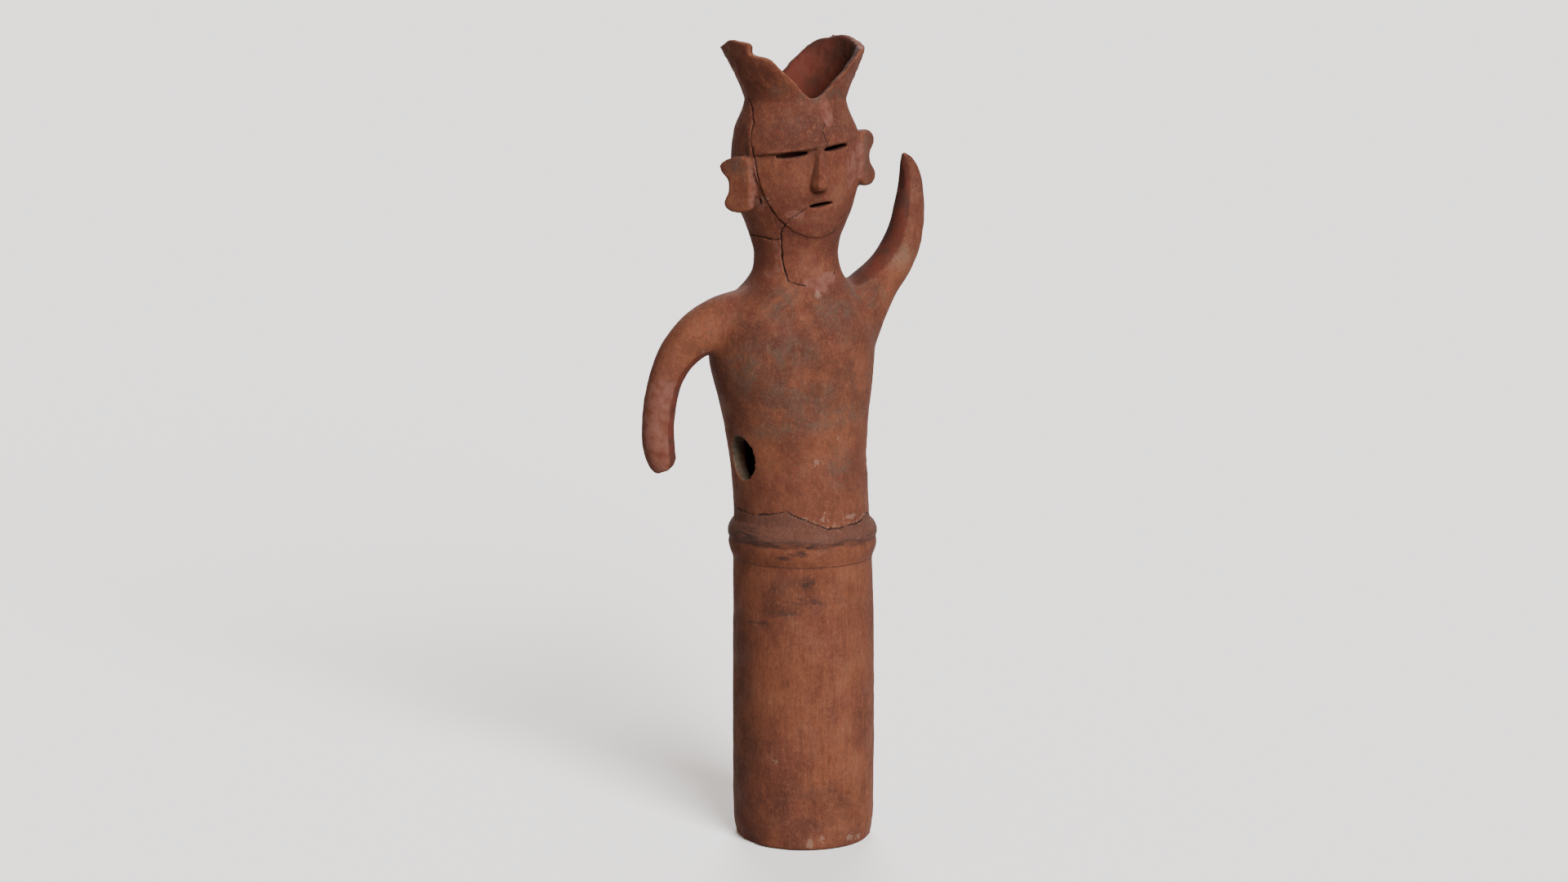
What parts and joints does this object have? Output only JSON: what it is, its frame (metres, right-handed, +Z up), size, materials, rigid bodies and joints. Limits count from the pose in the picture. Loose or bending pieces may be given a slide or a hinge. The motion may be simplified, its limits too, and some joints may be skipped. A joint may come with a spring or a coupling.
{
  "type": "haniwa figure",
  "caption": "Hollow earthenware figure, one arm raised and one hanging, with slit eyes and mouth, plate ears, a split flaring hat and a hoop above its open cylindrical base",
  "frame": {"origin": "on the ground, under the middle of the bounding box", "axes": "+Z up, -Y the way the figure faces, +X towards its left hand"},
  "size_m": [0.2794, 0.1422, 0.7526],
  "materials": {
    "clay": "matte, unglazed and worn"
  },
  "bodies": {
    "root": {"haniwa_figure": "clay"}
  },
  "joints": []
}
